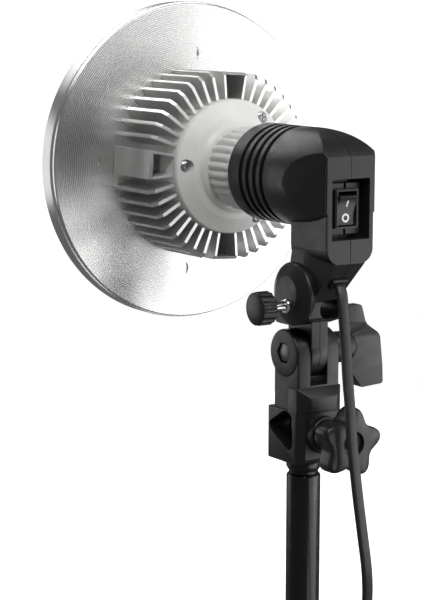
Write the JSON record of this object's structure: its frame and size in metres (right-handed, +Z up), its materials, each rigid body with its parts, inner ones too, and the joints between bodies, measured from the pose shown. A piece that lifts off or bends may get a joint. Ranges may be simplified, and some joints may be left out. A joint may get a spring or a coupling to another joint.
{
  "type": "led studio lamp head",
  "caption": "Continuous studio light: a finned LED disc lamp in a swivel lamp holder with rocker switch, umbrella screw, tilt clamp and light stand riser.",
  "frame": {"origin": "centre of the flat lower end of the stand riser", "axes": "+Z up along the riser, the lamp faces -Y, the rocker switch is at +Y, +X is the umbrella screw's side"},
  "size_m": [0.1876, 0.188, 0.5203],
  "materials": {
    "holder_shell": "fine satin texture",
    "dark_steel": "blackened",
    "socket_plastic": "satin",
    "switch_plastic": "semi-gloss",
    "rocker_plastic": "semi-gloss with printed on and off marks",
    "gland_plastic": "satin",
    "brass_parts": "plain",
    "nickel_contacts": "nickel plated",
    "insulator": "glassy black",
    "pan_aluminium": "turned, with fine concentric lines",
    "fin_aluminium": "bright satin",
    "diffuser": "milky",
    "led_board": "white",
    "circuit_board": "plain",
    "white_plastic": "satin",
    "bright_steel": "polished",
    "knob_plastic": "satin",
    "bracket_plastic": "fine satin texture",
    "stand_paint": "gloss black",
    "end_plug": "satin",
    "cord_sheath": "satin",
    "plug_plastic": "satin",
    "plug_pins": "nickel plated",
    "strap_fabric": "woven hook and loop"
  },
  "bodies": {
    "riser": {"riser_tube": "stand_paint", "riser_plug": "end_plug", "stud": "stand_paint"},
    "bracket": {"stand_bracket": "bracket_plastic", "tilt_bolt": "dark_steel", "cord_drop": "cord_sheath", "cord_coil": "cord_sheath", "cord_tail": "cord_sheath", "coil_strap": "strap_fabric", "plug_body": "plug_plastic", "plug_pin_1": "plug_pins", "plug_pin_2": "plug_pins"},
    "head": {"shell_left": "holder_shell", "shell_right": "holder_shell", "shell_screw_1": "dark_steel", "shell_screw_2": "dark_steel", "shell_screw_3": "dark_steel", "socket_body": "socket_plastic", "socket_sleeve": "brass_parts", "centre_contact": "brass_parts", "switch_body": "switch_plastic", "cord_gland": "gland_plastic"},
    "lamp_tip": {"tip_contact": "nickel_contacts"},
    "lamp": {"led_pan": "pan_aluminium", "led_board": "led_board", "front_diffuser": "diffuser", "heat_sink": "fin_aluminium", "driver_housing": "white_plastic", "driver_board": "circuit_board", "rear_cover": "white_plastic", "cover_screw_1": "dark_steel", "cover_screw_2": "dark_steel", "cover_screw_3": "dark_steel", "neck_collar": "white_plastic", "screw_cap": "nickel_contacts", "cap_insulator": "insulator"},
    "rocker": {"rocker": "rocker_plastic"},
    "clamp_tip": {"clamp_tip": "bright_steel"},
    "thumb": {"thumb_knob": "knob_plastic", "thumb_screw": "bright_steel"},
    "star_pad": {"star_pad": "bright_steel"},
    "star": {"star_knob": "knob_plastic", "star_cap": "knob_plastic", "star_screw": "bright_steel"},
    "wing_washer": {"wing_washer": "dark_steel"},
    "wing": {"wing_knob": "knob_plastic", "wing_insert": "brass_parts"}
  },
  "joints": [
    {"name": "pan", "type": "hinge", "parent": "riser", "child": "bracket", "pos_m": [0, 0, 0.28], "axis": [0, 0, 1], "continuous": true},
    {"name": "head_tilt", "type": "hinge", "parent": "bracket", "child": "head", "pos_m": [0, 0, 0.33], "axis": [1, 0, 0], "range_deg": [-60, 75], "deforming": ["cord_drop"]},
    {"name": "lamp_screw_out", "type": "slide", "parent": "head", "child": "lamp_tip", "axis": [0, -1, 0], "range_m": [0, 0.0219]},
    {"name": "lamp_turn", "type": "hinge", "parent": "lamp_tip", "child": "lamp", "pos_m": [0, 0, 0.4265], "axis": [0, -1, 0], "range_deg": [0, 2160]},
    {"name": "rocker_tip", "type": "hinge", "parent": "head", "child": "rocker", "pos_m": [0, 0.033, 0.4122], "axis": [1, 0, 0], "range_deg": [0, 24]},
    {"name": "thumb_slide", "type": "slide", "parent": "head", "child": "clamp_tip", "axis": [1, 0, 0], "range_m": [-0.0041, 0.0025]},
    {"name": "thumb_turn", "type": "hinge", "parent": "clamp_tip", "child": "thumb", "pos_m": [0.03, 0.011, 0.3583], "axis": [1, 0, 0], "range_deg": [-1800, 1080]},
    {"name": "star_slide", "type": "slide", "parent": "bracket", "child": "star_pad", "axis": [0, 1, 0], "range_m": [0, 0.0041]},
    {"name": "star_turn", "type": "hinge", "parent": "star_pad", "child": "star", "pos_m": [0, 0.04, 0.286], "axis": [0, 1, 0], "range_deg": [0, 1440]},
    {"name": "wing_slide", "type": "slide", "parent": "bracket", "child": "wing_washer", "axis": [-1, 0, 0], "range_m": [0, 0.0031]},
    {"name": "wing_turn", "type": "hinge", "parent": "wing_washer", "child": "wing", "pos_m": [-0.03, 0, 0.33], "axis": [-1, 0, 0], "range_deg": [0, 1080]}
  ],
  "couplings": [
    {"joint": "lamp_screw_out", "follows": "lamp_turn", "m_per_rad": 0.00057757},
    {"joint": "thumb_slide", "follows": "thumb_turn", "m_per_rad": 0.00012732},
    {"joint": "star_slide", "follows": "star_turn", "m_per_rad": 0.00015915},
    {"joint": "wing_slide", "follows": "wing_turn", "m_per_rad": 0.00015915}
  ]
}
